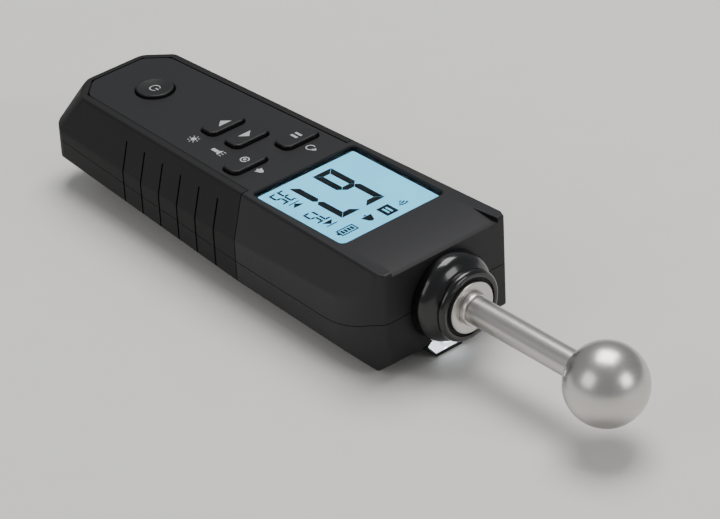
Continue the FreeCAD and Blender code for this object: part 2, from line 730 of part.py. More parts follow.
def brass_inserts():
    inserts = []
    for x, y, seat in screw_spots():
        z = parting_z(x) + PARTING_GAP
        inserts.append(upright(INSERT_R, x, y, z, z + INSERT_LEN - 0.1).cut(upright(SCREW_R + FIT, x, y, z - 1,
                                                                                   z + 9)))
    return group(inserts)


def board_screws():
    screws = []
    z = -BOARD_TOP - BOARD_T - 0.02
    for x, y in board_screw_spots():
        head = upright(1.8, x, y, z - 1.2, z)
        head = head.cut(box(x - 1.2, x + 1.2, y - 0.25, y + 0.25, z - 2, z - 0.7))
        screws.append(on_top(head.fuse(upright(BOARD_SCREW_R, x, y, z - 0.1, -4.0)).removeSplitter()))
    return group(screws)


NODES = {
    "upper_housing": upper_housing,
    "lower_housing": lower_housing,
    "grip_upper": grip_upper,
    "grip_lower": grip_lower,
    "display_window": display_window,
    "lcd_panel": lcd_panel,
    "lcd_backlight": lcd_backlight,
    "lcd_bezel": lcd_bezel,
    "elastomer_strips": elastomer_strips,
    "main_board": main_board,
    "board_chips": board_chips,
    "radio_module": radio_module,
    "piezo_buzzer": piezo_buzzer,
    "power_button": power_button,
    "down_key": lambda: key(*DOWN_KEY),
    "up_key": lambda: key(*UP_KEY),
    "set_key": lambda: key(*SET_KEY),
    "hold_key": lambda: key(*HOLD_KEY),
    "power_dome": lambda: dome(POWER_X, 0),
    "down_dome": lambda: dome(*DOWN_KEY),
    "up_dome": lambda: dome(*UP_KEY),
    "set_dome": lambda: dome(*SET_KEY),
    "hold_dome": lambda: dome(*HOLD_KEY),
    "battery": battery,
    "battery_terminals": battery_terminals,
    "battery_snap": battery_snap,
    "red_lead": lambda: battery_lead(4.0),
    "black_lead": lambda: battery_lead(-4.0),
    "battery_door": battery_door,
    "door_foam": door_foam,
    "probe_boss": probe_boss,
    "boss_seal": boss_seal,
    "insulating_ring": insulating_ring,
    "probe_disc": probe_disc,
    "root_collar": root_collar,
    "probe_shaft": probe_shaft,
    "probe_ball": probe_ball,
    "probe_washer": probe_washer,
    "solder_lug": solder_lug,
    "probe_nut": probe_nut,
    "probe_lead": probe_lead,
    "lamp_lens": lamp_lens,
    "lamp_reflector": lamp_reflector,
    "lamp_led": lamp_led,
    "lamp_board": lamp_board,
    "lamp_leads": lamp_leads,
    "housing_screws": housing_screws,
    "brass_inserts": brass_inserts,
    "board_screws": board_screws,
}

os.makedirs("parts", exist_ok=True)
for name, make in NODES.items():
    shape = make()
    shape.exportStep("parts/" + name + ".step")
    limits = shape.BoundBox
    print("%-18s solids %d valid %s  x %.2f..%.2f y %.2f..%.2f z %.2f..%.2f vol %.0f" % (
        name, len(shape.Solids), shape.isValid(), limits.XMin, limits.XMax, limits.YMin, limits.YMax,
        limits.ZMin, limits.ZMax, shape.Volume))
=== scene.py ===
"""Visual model of a hand-held ball-probe moisture meter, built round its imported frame."""
import json
import logging
import math
from dataclasses import dataclass, field
from enum import Enum

import bpy
from mathutils import Matrix, Vector


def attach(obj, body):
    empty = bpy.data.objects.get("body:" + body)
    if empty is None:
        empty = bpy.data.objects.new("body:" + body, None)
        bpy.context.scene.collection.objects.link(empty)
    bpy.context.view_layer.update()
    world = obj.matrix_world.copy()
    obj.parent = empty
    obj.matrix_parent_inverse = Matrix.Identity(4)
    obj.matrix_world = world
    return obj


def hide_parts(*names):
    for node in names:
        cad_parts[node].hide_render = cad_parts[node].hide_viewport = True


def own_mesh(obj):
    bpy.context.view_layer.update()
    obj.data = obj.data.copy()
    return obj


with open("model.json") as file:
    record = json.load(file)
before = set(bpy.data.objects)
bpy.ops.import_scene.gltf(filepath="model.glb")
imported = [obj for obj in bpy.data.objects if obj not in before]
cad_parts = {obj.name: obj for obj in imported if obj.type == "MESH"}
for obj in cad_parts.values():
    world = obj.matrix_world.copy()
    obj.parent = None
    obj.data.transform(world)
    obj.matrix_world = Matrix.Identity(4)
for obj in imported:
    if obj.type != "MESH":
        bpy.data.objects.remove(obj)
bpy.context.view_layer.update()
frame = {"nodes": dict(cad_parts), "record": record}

LOG = logging.getLogger("moisture_meter")
MM = 0.001

# The casing's driving sizes, in millimetres, as in the CAD model.
PROBE_Z = 18.3
TOP_Z = 32.93
TOP_RISE = 0.0151
TOP_TILT = math.atan(TOP_RISE)
FRONT_X = 38.9
GRIP_X = -21.5
GRIP_T = 2.3
GRIP_REAR_T = 1.8
POWER_X = -85.3
KEY_SPOTS = {"down": (-54.4, 0.1), "up": (-43.9, 0.2), "set": (-33.0, -9.4), "hold": (-33.0, 9.4)}

# Tolerances of the mesh steps, in metres.
CUT_TOLERANCE = 1e-7
HULL_MERGE = 1e-5
SPIN_MERGE = 2e-6
FINE_MERGE = 1e-6

Point = tuple[float, float, float]
Outline = list[tuple[float, float]]


class Turn(Enum):
    """Which way a boolean step works on a piece."""

    CUT = "DIFFERENCE"
    JOIN = "UNION"
    KEEP = "INTERSECT"


class Grain(Enum):
    """How a finish's fine pattern lies on its piece."""

    EVEN = (1.0, 1.0, 1.0)
    RINGS = (1.0, 0.04, 0.04)


# ---- finishes -----------------------------------------------------------------------------------
def linear(hex_colour: str) -> tuple[float, float, float, float]:
    """Turns an sRGB hex colour to linear.

    Args:
        hex_colour: six hex digits after a hash.

    Returns:
        Red, green, blue and alpha, linear.
    """
    parts = [int(hex_colour[i:i + 2], 16) / 255 for i in (1, 3, 5)]
    curve = [p / 12.92 if p <= 0.04045 else ((p + 0.055) / 1.055) ** 2.4 for p in parts]
    return (curve[0], curve[1], curve[2], 1.0)


def add_node(tree: bpy.types.NodeTree, kind: str, settings: dict, links: dict) -> bpy.types.Node:
    """Adds one shader node.

    Args:
        tree: the node tree it goes in.
        kind: the node's type name.
        settings: input or property name to its value.
        links: input name to the output socket that feeds it.

    Returns:
        The new node.
    """
    node = tree.nodes.new(kind)
    for name, value in settings.items():
        if name in node.inputs:
            node.inputs[name].default_value = value
        else:
            setattr(node, name, value)
    for name, source in links.items():
        tree.links.new(source, node.inputs[name])
    return node


@dataclass(frozen=True)
class Finish:
    """One real material: its colours, gloss and the fine pattern its making leaves."""

    name: str
    colour: str
    colour_b: str
    rough: float
    rough_b: float
    grain_mm: float
    bump_mm: float = 0.0
    metallic: float = 0.0
    ior: float = 1.5
    grain: Grain = Grain.EVEN
    transmission: float = 0.0
    glow: float = 0.0
    coat: float = 0.0
    specular: float = 0.5

    def build(self) -> bpy.types.Material:
        """Makes the Blender material."""
        made = bpy.data.materials.get(self.name)
        if made:
            return made
        made = bpy.data.materials.new(self.name)
        made.use_nodes = True
        tree = made.node_tree
        tree.nodes.clear()
        place = add_node(tree, "ShaderNodeTexCoord", {}, {})
        turned = add_node(tree, "ShaderNodeMapping", {"Scale": self.grain.value},
                          {"Vector": place.outputs["Object"]})
        grain = add_node(tree, "ShaderNodeTexNoise", {"Scale": 1 / (self.grain_mm * MM), "Detail": 3.0},
                         {"Vector": turned.outputs["Vector"]})
        broad = add_node(tree, "ShaderNodeTexNoise", {"Scale": 1 / (14 * MM), "Detail": 2.0},
                         {"Vector": place.outputs["Object"]})
        colours = add_node(tree, "ShaderNodeMix", {"data_type": "RGBA"}, {})
        colours.inputs[6].default_value = linear(self.colour)
        colours.inputs[7].default_value = linear(self.colour_b)
        tree.links.new(broad.outputs["Fac"], colours.inputs[0])
        gloss = add_node(tree, "ShaderNodeMapRange", {"To Min": self.rough, "To Max": self.rough_b},
                         {"Value": grain.outputs["Fac"]})
        shader = add_node(tree, "ShaderNodeBsdfPrincipled",
                          {"Metallic": self.metallic, "Transmission Weight": self.transmission,
                           "Coat Weight": self.coat, "Coat Roughness": 0.06,
                           "Specular IOR Level": self.specular},
                          {"Base Color": colours.outputs[2], "Roughness": gloss.outputs["Result"]})
        if not self.metallic:
            shader.inputs["IOR"].default_value = self.ior
        if self.glow:
            shader.inputs["Emission Strength"].default_value = self.glow
            tree.links.new(colours.outputs[2], shader.inputs["Emission Color"])
        if self.bump_mm:
            bump = add_node(tree, "ShaderNodeBump", {"Strength": 0.5, "Distance": self.bump_mm * MM},
                            {"Height": grain.outputs["Fac"]})
            tree.links.new(bump.outputs["Normal"], shader.inputs["Normal"])
        add_node(tree, "ShaderNodeOutputMaterial", {}, {"Surface": shader.outputs["BSDF"]})
        return made


# Moulded ABS from a spark-eroded tool: a fine even texture that spreads the soft light.
CHARCOAL_ABS = Finish("moulded_charcoal_abs", "#141416", "#171719", 0.44, 0.54, 0.35, 0.012, ior=1.53,
                      specular=0.3)
# Thermoplastic rubber moulded over the grip: blacker and duller than the ABS.
GRIP_TPE = Finish("moulded_grip_tpe", "#0b0b0c", "#0e0e0f", 0.58, 0.68, 0.5, 0.015, ior=1.5, specular=0.3)
# Silicone keys, smooth and a little glossier on top.
KEY_SILICONE = Finish("moulded_key_silicone", "#0e0e0f", "#121213", 0.38, 0.48, 0.4, 0.006, ior=1.43)
# Pad-printed legend ink: light grey, slightly raised.
LEGEND_INK = Finish("printed_legend_ink", "#b4b6b8", "#a8aaac", 0.5, 0.6, 0.3)
# Back-lit liquid crystal glass: an even pale cyan light.
LCD_LIT = Finish("lit_lcd_glass", "#68c6e6", "#5cc0e2", 0.3, 0.35, 4.0, glow=1.0, specular=0.1)
# Driven liquid crystal segments: near black over the light.
LCD_SEGMENT = Finish("lcd_segment_black", "#050708", "#07090a", 0.4, 0.45, 2.0, specular=0.1)
# Cast acrylic window with an anti-reflection coat: it mirrors as little as a far lower index would.
COATED_ACRYLIC = Finish("anti_glare_acrylic", "#fbfdff", "#f8fbfd", 0.0, 0.02, 3.0, ior=1.12,
                        transmission=1.0)
# The lamp's acrylic lens with the light on behind it: it shines by itself.
LIT_ACRYLIC = Finish("lit_clear_acrylic", "#fbfdff", "#f4faff", 0.02, 0.06, 3.0, ior=1.49,
                     transmission=0.9, glow=0.45)
# Polished black acetal, turned: deep black with a sharp highlight.
BLACK_ACETAL = Finish("polished_black_acetal", "#0b0b0c", "#0f0f10", 0.18, 0.24, 0.6, ior=1.48, coat=0.3)
# Turned and satin-polished stainless steel: fine rings round the axis.
SATIN_STAINLESS = Finish("turned_satin_stainless", "#cfccc8", "#c2bfbb", 0.24, 0.38, 0.12, 0.006,
                         metallic=1.0, grain=Grain.RINGS)
# Zinc-plated fasteners.
ZINC_PLATE = Finish("zinc_plated_steel", "#b9bcc0", "#a9adb2", 0.28, 0.38, 0.8, metallic=1.0)
# Vacuum-metallised reflector.
BRIGHT_CHROME = Finish("metallised_reflector", "#e6e8ea", "#dfe1e4", 0.05, 0.09, 2.0, metallic=1.0)
# White light-emitting diode, lit.
LED_LIT = Finish("lit_white_led", "#f6fbff", "#eef6ff", 0.3, 0.35, 1.0, glow=12.0)
# White moulded diffuser.
WHITE_DIFFUSER = Finish("white_diffuser", "#dcdcd8", "#d2d2ce", 0.4, 0.5, 1.0)
# Glass-fibre board under green solder resist.
SOLDER_RESIST = Finish("green_solder_resist", "#0f5a2c", "#0c4c25", 0.3, 0.4, 0.8, 0.01)
# Epoxy-moulded components.
CHIP_EPOXY = Finish("moulded_chip_epoxy", "#1c1c1e", "#232325", 0.5, 0.6, 0.3, 0.01)
# Printed steel jacket of the battery.
CELL_JACKET = Finish("printed_cell_jacket", "#2a3038", "#31383f", 0.3, 0.4, 1.0, coat=0.3)
# Wire insulation.
RED_PVC = Finish("red_pvc", "#a01414", "#8f1010", 0.35, 0.45, 0.6)
BLACK_PVC = Finish("black_pvc", "#151516", "#1a1a1b", 0.35, 0.45, 0.6)
# Open-cell foam, coarse enough to show.
GREY_FOAM = Finish("grey_open_foam", "#3a3a3a", "#2c2c2c", 0.85, 0.95, 0.8, 0.15)
# Machined brass.
TURNED_BRASS = Finish("turned_brass", "#d2a94e", "#c49a44", 0.22, 0.32, 0.4, metallic=1.0)

SLOT_FINISHES: dict[str, Finish] = {
    "housing_plastic": CHARCOAL_ABS, "grip_rubber": GRIP_TPE, "key_rubber": KEY_SILICONE,
    "window_clear": COATED_ACRYLIC, "lcd_glass": LCD_LIT, "diffuser_white": WHITE_DIFFUSER,
    "seal_rubber": GRIP_TPE, "board_green": SOLDER_RESIST, "chip_black": CHIP_EPOXY,
    "shield_metal": ZINC_PLATE, "cell_sleeve": CELL_JACKET, "contact_metal": ZINC_PLATE,
    "lead_red": RED_PVC, "lead_black": BLACK_PVC, "foam_grey": GREY_FOAM, "boss_black": BLACK_ACETAL,
    "probe_steel": SATIN_STAINLESS, "fastener_steel": ZINC_PLATE, "insert_brass": TURNED_BRASS,
    "reflector_chrome": BRIGHT_CHROME,
}


# ---- modelling steps ----------------------------------------------------------------------------
def on_top(x: float, y: float, h: float) -> Vector:
    """Turns a place on the sloped top face, h above it, to the row frame, in millimetres."""
    c, s = math.cos(TOP_TILT), math.sin(TOP_TILT)
    return Vector((x * c - h * s, y, TOP_Z + x * s + h * c))


def on_top_push(h: float) -> Vector:
    """A push of h along the top face's normal."""
    return Vector((-h * math.sin(TOP_TILT), 0, h * math.cos(TOP_TILT)))


def only(obj: bpy.types.Object) -> None:
    """Selects one object and makes it active."""
    bpy.ops.object.select_all(action="DESELECT")
    obj.select_set(True)
    bpy.context.view_layer.objects.active = obj


def edit(obj: bpy.types.Object, *steps: tuple) -> None:
    """Runs edit-mode operators on the whole of an object's mesh.

    Args:
        obj: the object to edit.
        steps: pairs of an operator and its keyword arguments.
    """
    only(obj)
    bpy.ops.object.mode_set(mode="EDIT")
    for operator, settings in steps:
        bpy.ops.mesh.select_all(action="SELECT")
        operator(**settings)
    bpy.ops.mesh.select_all(action="SELECT")
    bpy.ops.mesh.normals_make_consistent(inside=False)
    bpy.ops.object.mode_set(mode="OBJECT")


def prism(name: str, points: list[Vector | Point], push: Vector | Point) -> bpy.types.Object:
    """Extrudes a flat outline.

    Args:
        name: the new object's name.
        points: the outline's corners in order, in millimetres.
        push: how far and which way it is extruded, in millimetres.

    Returns:
        The closed solid.
    """
    bpy.ops.object.select_all(action="DESELECT")
    bpy.ops.mesh.primitive_circle_add(vertices=len(points), radius=0.01, fill_type="NGON")
    obj = bpy.context.object
    obj.name = name
    for vertex, point in zip(obj.data.vertices, points):
        vertex.co = Vector(point) * MM
    edit(obj, (bpy.ops.mesh.extrude_region_move,
               {"TRANSFORM_OT_translate": {"value": tuple(Vector(push) * MM)}}))
    return obj


def flared(name: str, *levels: list[Vector]) -> bpy.types.Object:
    """Makes a solid that runs through outlines of as many corners, such as a hole with a chamfered rim."""
    def climb() -> None:
        """Extrudes the last face once for each further outline."""
        for _ in levels[1:]:
            bpy.ops.mesh.extrude_region_move(TRANSFORM_OT_translate={"value": (0, 0, 0.01)})

    bpy.ops.object.select_all(action="DESELECT")
    count = len(levels[0])
    bpy.ops.mesh.primitive_circle_add(vertices=count, radius=0.01, fill_type="NGON")
    obj = bpy.context.object
    obj.name = name
    edit(obj, (climb, {}))
    for vertex, point in zip(obj.data.vertices, [point for level in levels for point in level]):
        vertex.co = point * MM
    return obj


def turned(name: str, profile: list[tuple[float, float]], steps: int = 96, axis_y: float = 0.0,
           axis_z: float = PROBE_Z) -> bpy.types.Object:
    """Spins a closed outline about an axis along X.

    Args:
        name: the new object's name.
        profile: (x, radius) corners in order, in millimetres.
        steps: facets round the axis.
        axis_y: the axis's place along Y.
        axis_z: the axis's height.

    Returns:
        The closed solid.
    """
    bpy.ops.object.select_all(action="DESELECT")
    bpy.ops.mesh.primitive_circle_add(vertices=len(profile), radius=0.01, fill_type="NOTHING")
    obj = bpy.context.object
    obj.name = name
    for vertex, (x, radius) in zip(obj.data.vertices, profile):
        vertex.co = Vector((x, axis_y, axis_z + radius)) * MM
    edit(obj,
         (bpy.ops.mesh.spin, {"steps": steps, "angle": 2 * math.pi, "axis": (1, 0, 0),
                              "center": (0, axis_y * MM, axis_z * MM)}),
         (bpy.ops.mesh.remove_doubles, {"threshold": SPIN_MERGE}),
         (bpy.ops.mesh.dissolve_degenerate, {"threshold": FINE_MERGE}),
         (bpy.ops.mesh.delete_loose, {}))
    return obj


def arc(cx: float, cz: float, radius: float, start: float, end: float, count: int) -> Outline:
    """Points along an arc, from start to end in degrees."""
    turns = [math.radians(start + (end - start) * i / count) for i in range(count + 1)]
    return [(cx + radius * math.cos(a), cz + radius * math.sin(a)) for a in turns]


def circle(x: float, y: float, radius: float) -> Outline:
    """A whole turn in 48 points."""
    return arc(x, y, radius, 0, 352.5, 47)


def rounded(x0: float, x1: float, y0: float, y1: float, radius: float, height: float) -> list[Vector]:
    """A rounded oblong on the sloped top face."""
    spots = [(x1 - radius, y1 - radius, 0), (x0 + radius, y1 - radius, 90), (x0 + radius, y0 + radius, 180),
             (x1 - radius, y0 + radius, 270)]
    return [on_top(x, y, height) for cx, cy, a in spots for x, y in arc(cx, cy, radius, a, a + 90, 8)]


def disc_outline(x: float, y: float, radius: float, height: float, count: int = 64) -> list[Vector]:
    """A circle on the sloped top face."""
    return [on_top(px, py, height) for px, py in arc(x, y, radius, 0, 360 - 360 / count, count - 1)]


def carve(obj: bpy.types.Object, tool: bpy.types.Object, turn: Turn = Turn.CUT) -> bpy.types.Object:
    """Applies a boolean step and removes its tool.

    Args:
        obj: the piece.
        tool: the solid that works on it.
        turn: which way it works.

    Returns:
        The piece.
    """
    only(obj)
    step = obj.modifiers.new("carve", "BOOLEAN")
    step.operation = turn.value
    step.solver = "EXACT"
    step.object = tool
    bpy.ops.object.modifier_apply(modifier=step.name)
    bpy.data.objects.remove(tool)
    return obj


def soften(obj: bpy.types.Object, width: float, segments: int, angle: float) -> bpy.types.Object:
    """Rounds the edges sharper than an angle, by a width in millimetres."""
    only(obj)
    step = obj.modifiers.new("soften", "BEVEL")
    step.width = width * MM
    step.segments = segments
    step.limit_method = "ANGLE"
    step.angle_limit = math.radians(angle)
    step.use_clamp_overlap = True
    bpy.ops.object.modifier_apply(modifier=step.name)
    return obj


def joined(name: str, pieces: list[bpy.types.Object]) -> bpy.types.Object:
    """Joins solids to one object."""
    bpy.ops.object.select_all(action="DESELECT")
    for piece in pieces:
        piece.select_set(True)
    bpy.context.view_layer.objects.active = pieces[0]
    bpy.ops.object.join()
    pieces[0].name = name
    return pieces[0]


def finish_piece(obj: bpy.types.Object, name: str, finish: Finish, body: str,
                 replaced: tuple[str, ...] = (), angle: float = 32.0) -> bpy.types.Object:
    """Names, shades and dresses a piece, and puts it on its body.

    Args:
        obj: the piece.
        name: its name.
        finish: its material.
        body: the CAD body it rides on.
        replaced: the CAD nodes it stands for.
        angle: edges sharper than this stay sharp.

    Returns:
        The piece.
    """
    obj.name = name
    obj.data.name = name
    edit(obj, (bpy.ops.mesh.remove_doubles, {"threshold": FINE_MERGE}))
    only(obj)
    bpy.ops.object.shade_smooth_by_angle(angle=math.radians(angle))
    step = obj.modifiers.new("even", "WEIGHTED_NORMAL")
    step.keep_sharp = True
    step.weight = 100
    bpy.ops.object.modifier_apply(modifier=step.name)
    obj.data.materials.clear()
    obj.data.materials.append(finish.build())
    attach(obj, body)
    if replaced:
        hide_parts(*replaced)
    LOG.info("made %s, %d faces", name, len(obj.data.polygons))
    return obj


# ---- casing -------------------------------------------------------------------------------------
@dataclass
class Casing:
    """The two housings and the rubber grip round them."""

    side_rear: tuple[float, float] = (-105.0, 21.15)
    side_mid: tuple[float, float] = (-30.9, 23.9)
    nose: tuple[float, float] = (21.0, 25.15)
    nose_mid: tuple[float, float] = (31.0, 24.1)
    front_half: float = 21.4
    crease_z: float = 20.0
    rear_x: float = -110.5
    wall: float = 3.8
    edge: float = 0.8
    corner_edge: float = 2.9
    top_corner_edge: float = 4.2
    corner_x: float = -90.0
    least_turn: float = 9.0
    facet_turn: float = 11.0
    part_gap: float = 0.1
    grip_part_gap: float = 0.08
    groove_half: float = 0.32
    groove_depth: float = 0.5
    groove_top: float = 27.3
    groove_tip: float = 27.7
    recess: float = 1.4
    hole_foot: float = -6.0
    rim_drop: float = 0.3
    rim_rise: float = 0.2
    rim_out: float = 0.5
    groove_x: float = -73.7
    groove_pitch: float = 8.56
    belly: tuple[float, float, float] = (9.8, 6.0, 5.4)
    screws: tuple[Point, ...] = ((25.5, 17.5, 2.4), (-42.0, 17.2, 5.4), (-80.0, 16.2, 7.6))
    window: tuple[float, float, float] = (-19.3, 18.5, 18.4)
    parting: list[tuple[float, float]] = field(default_factory=lambda: [
        (-120, 16.17), (GRIP_X, 12.4), (16, 12.3), (20, 12.55), (24, 13.2), (27.5, 14.15), (31, 15.35),
        (34, 16.7), (FRONT_X, PROBE_Z), (60, PROBE_Z)])

    def side_half(self, x: float) -> float:
        """Half width of the upright side at x."""
        a, b = (self.side_rear, self.side_mid) if x < self.side_mid[0] else (self.side_mid, self.nose)
        return a[1] + (x - a[0]) * (b[1] - a[1]) / (b[0] - a[0])

    def planes(self) -> list[tuple[str, Vector, Vector]]:
        """Every flat face of the casing, as its kind, a point on it and its outward normal."""
        def face(kind: str, a: Vector, b: Vector, c: Vector, doubled: bool) -> None:
            """Adds the plane through three points, and its mirror image if doubled."""
            normal = (b - a).cross(c - a).normalized()
            if (Vector((-40, 0, 16)) - a).dot(normal) > 0:
                normal = -normal
            found.append((kind, a, normal))
            if doubled:
                found.append((kind, Vector((a.x, -a.y, a.z)), Vector((normal.x, -normal.y, normal.z))))

        found: list[tuple[str, Vector, Vector]] = []
        left, up = Vector((0, 1, 0)), Vector((0, 0, 1))
        top = [Vector((x, y, TOP_Z + TOP_RISE * x)) for x, y in
               ((-105.3, 0), (-105.2, 10.5), (-97.8, 18.3), (0, 21.21), (-100, 17.83))]
        low_a, low_b = Vector((-110.5, 16.4, self.crease_z)), Vector((-106.5, 21.0, self.crease_z))
        rear, mid, nose = [Vector((x, y, 0)) for x, y in (self.side_rear, self.side_mid, self.nose)]
        z_rear, z_grip, z_front = self.belly
        edge = Vector((GRIP_X, self.side_half(GRIP_X), z_grip))
        end = Vector((self.rear_x, 0, z_rear))
        crease = Vector((self.rear_x, 0, self.crease_z))
        corner = Vector((low_a.x, low_a.y, z_rear))
        tuck = Vector((0, -1.05, -1))
        front = Vector((FRONT_X, 0, z_front - 0.3))
        face("top", Vector((0, 0, TOP_Z)), Vector((0, 5, TOP_Z)), top[0], False)
        face("floor", Vector((0, 0, 0)), Vector((5, 0, 0)), left, False)
        face("side", top[3], top[4], top[3] + Vector((0, 2.65, -10)), True)
        face("side", rear, mid, mid + up, True)
        face("side", mid, nose, nose + up, True)
        face("rear", top[0], top[0] + left, crease, False)
        face("rear", crease, crease + left, crease - up, False)
        face("rear", top[1], top[2], (low_a + low_b) / 2, True)
        face("rear", low_a, low_b, low_a - up, True)
        face("floor", edge, Vector((rear.x, rear.y, z_rear)), edge + tuck, True)
        face("floor", edge, Vector((nose.x, nose.y, z_front)), edge + tuck, True)
        face("floor", end, end + left, end + Vector((1.25, 0, -1)), False)
        face("floor", corner, corner + low_b - low_a, corner + Vector((1.25, -1.25, -1.3)), True)
        face("floor", front, front + left, front + Vector((-1.25, 0, -1)), False)
        face("front", Vector((FRONT_X, 0, 0)), Vector((FRONT_X, 5, 0)), Vector((FRONT_X, 0, 5)), False)
        for a, b in self.nose_chords():
            face("side", a, b, b + up, True)
        return found

    def nose_chords(self) -> list[tuple[Vector, Vector]]:
        """The curve in which each side turns in to the front face, as short flats."""
        a, b, c = Vector(self.nose), Vector(self.nose_mid), Vector((FRONT_X, self.front_half))
        spots = []
        for i in range(15):
            t = i / 14
            first = a * (1 - t) ** 2
            pull = (b * 2 - (a + c) / 2) * 2 * t * (1 - t)
            spots.append(first + pull + c * t ** 2)
        flats = [Vector((p.x, p.y, 0)) for p in spots]
        return list(zip(flats, flats[1:]))

    def form(self, name: str, side: float = 0.0, rear: float = 0.0, top: float = 0.0, floor: float = 0.0,
             edge: float = 0.0) -> bpy.types.Object:
        """The casing's form, cut from a block plane by plane.

        Args:
            name: the new object's name.
            side: how far the side and front faces are drawn in.
            rear: how far the rear faces are drawn in.
            top: how far the top face is drawn in.
            floor: how far the back and belly faces are drawn in.
            edge: width of the rounding along the edges.

        Returns:
            The closed solid.
        """
        inset = {"side": side, "front": side, "rear": rear, "top": top, "floor": floor}
        bpy.ops.object.select_all(action="DESELECT")
        bpy.ops.mesh.primitive_cube_add(size=0.3)
        obj = bpy.context.object
        obj.name = name
        cuts = [((point - normal * inset[kind]) * MM, normal) for kind, point, normal in self.planes()]
        self.slice(obj, cuts)
        if edge:
            self.slice(obj, self.tangents(obj, edge))
        edit(obj, (bpy.ops.mesh.remove_doubles, {"threshold": HULL_MERGE}),
             (bpy.ops.mesh.convex_hull, {"delete_unused": True, "use_existing_faces": False,
                                         "join_triangles": False}))
        return obj

    def slice(self, obj: bpy.types.Object, cuts: list[tuple[Vector, Vector]]) -> None:
        """Cuts a convex form by planes, each a point and an outward normal, in metres."""
        edit(obj, *[(bpy.ops.mesh.bisect,
                     {"plane_co": tuple(point), "plane_no": tuple(normal), "use_fill": True,
                      "clear_outer": True, "threshold": CUT_TOLERANCE}) for point, normal in cuts])

    def tangents(self, obj: bpy.types.Object, edge: float) -> list[tuple[Vector, Vector]]:
        """Planes that round a convex form's edges, as tangents of a rounding along each.

        Args:
            obj: the form.
            edge: how far the rounding reaches on to each face. The rear's upright corners reach further.

        Returns:
            Each plane's point and outward normal, in metres.
        """
        mesh = obj.data
        sides: dict[tuple[int, int], list[Vector]] = {}
        for polygon in mesh.polygons:
            for pair in polygon.edge_keys:
                sides.setdefault(pair, []).append(polygon.normal.copy())
        found = []
        for pair, (first, second) in sides.items():
            turn = first.angle(second)
            if turn < math.radians(self.least_turn):
                continue
            ends = [mesh.vertices[i].co for i in pair]
            rear = max(end.x for end in ends) < self.corner_x * MM and abs(ends[0].z - ends[1].z) > 3 * MM
            upright = max(abs(first.z), abs(second.z)) < 0.7
            above = min(end.z for end in ends) > (self.crease_z - 0.1) * MM
            corner = self.top_corner_edge if above else self.corner_edge
            reach = (corner if rear and upright else edge) * MM
            radius = reach / math.tan(turn / 2)
            count = max(2, round(math.degrees(turn) / self.facet_turn))
            for k in range(1, count):
                a = math.sin((1 - k / count) * turn) / math.sin(turn)
                b = math.sin(k / count * turn) / math.sin(turn)
                normal = (first * a + second * b).normalized()
                found.append((mesh.vertices[pair[0]].co - normal * radius * (a + b - 1), normal))
        return found

    def above(self, lift: float) -> bpy.types.Object:
        """Everything above the joint between the housings."""
        points = [(x, -40, z + lift) for x, z in self.parting] + [(60, -40, 60), (-120, -40, 60)]
        return prism("above", points, (0, 80, 0))

    def grip_room(self, gap: float) -> bpy.types.Object:
        """The room the rubber fills: behind its front end and above the belly."""
        slope = (self.belly[0] - self.belly[1]) / (self.side_rear[0] - GRIP_X)
        x = GRIP_X + gap
        outline = [(-120, -40, self.belly[1] + slope * (-120 - GRIP_X) - gap), (x, -40, self.belly[1] - gap),
                   (x, -40, 60), (-120, -40, 60)]
        return prism("room", outline, (0, 80, 0))

    def shell(self, name: str) -> bpy.types.Object:
        """The bare casing, hollow, with a step where the rubber sits."""
        shell = self.form(name, edge=self.edge)
        band = self.grip_room(0.28)
        core = self.form("core", side=GRIP_T + 0.15, rear=GRIP_REAR_T + 0.15, edge=0.5)
        carve(shell, carve(band, core))
        return carve(shell, self.form("hollow", side=self.wall, rear=self.wall, top=2.6, floor=2.4))

    def boss_bore(self) -> bpy.types.Object:
        """The bore in the front face that the boss sits in."""
        return turned("bore", [(30, 0), (30, 9), (45, 9), (45, 0)])

    def spots(self) -> list[Point]:
        """Both sides' screw places and seats."""
        return [(x, side * y, seat) for x, y, seat in self.screws for side in (-1, 1)]

    def upper(self) -> None:
        """The upper housing, with its recess, visor and key holes."""
        shell = carve(self.shell("upper"), self.above(self.part_gap), Turn.KEEP)
        x0, x1, half = self.window
        deep, flat, out = self.hole_foot, -self.recess, self.rim_out
        wide, tight = (x0, x1, -half, half, 1.5), (x0 + 0.6, x1 - 0.6, -half + 0.6, half - 0.6, 1.0)
        bay = flared("bay", rounded(*tight, deep), rounded(*tight, flat), rounded(*wide, flat),
                     rounded(*wide, -self.rim_drop),
                     rounded(x0 - out, x1 + out, -half - out, half + out, 2.0, self.rim_rise))
        visor = [(29.8, -30, TOP_Z + TOP_RISE * 29.8), (36.8, -30, 32.2), (45, -30, 32.2), (45, -30, 45),
                 (29.8, -30, 45)]
        plan = [(28.8, -18.0, 20), (45, -19.7, 20), (45, 19.7, 20), (28.8, 18.0, 20)]
        lip = carve(prism("visor", visor, (0, 60, 0)), prism("plan", plan, (0, 0, 30)), Turn.KEEP)
        tools = [bay, lip, self.boss_bore(),
                 flared("hole", disc_outline(POWER_X, 0, 5.8, deep),
                        disc_outline(POWER_X, 0, 5.8, -self.rim_drop),
                        disc_outline(POWER_X, 0, 5.8 + out, self.rim_rise))]
        for x, y in KEY_SPOTS.values():
            key = (x - 3.35, x + 3.35, y - 6.5, y + 6.5, 2.2)
            tools.append(flared("hole", rounded(*key, deep), rounded(*key, -0.25),
                                rounded(x - 3.8, x + 3.8, y - 6.95, y + 6.95, 2.65, self.rim_rise)))
        carve(shell, joined("tools", tools))
        finish_piece(shell, "upper_shell", CHARCOAL_ABS, "casing", ("upper_housing",))

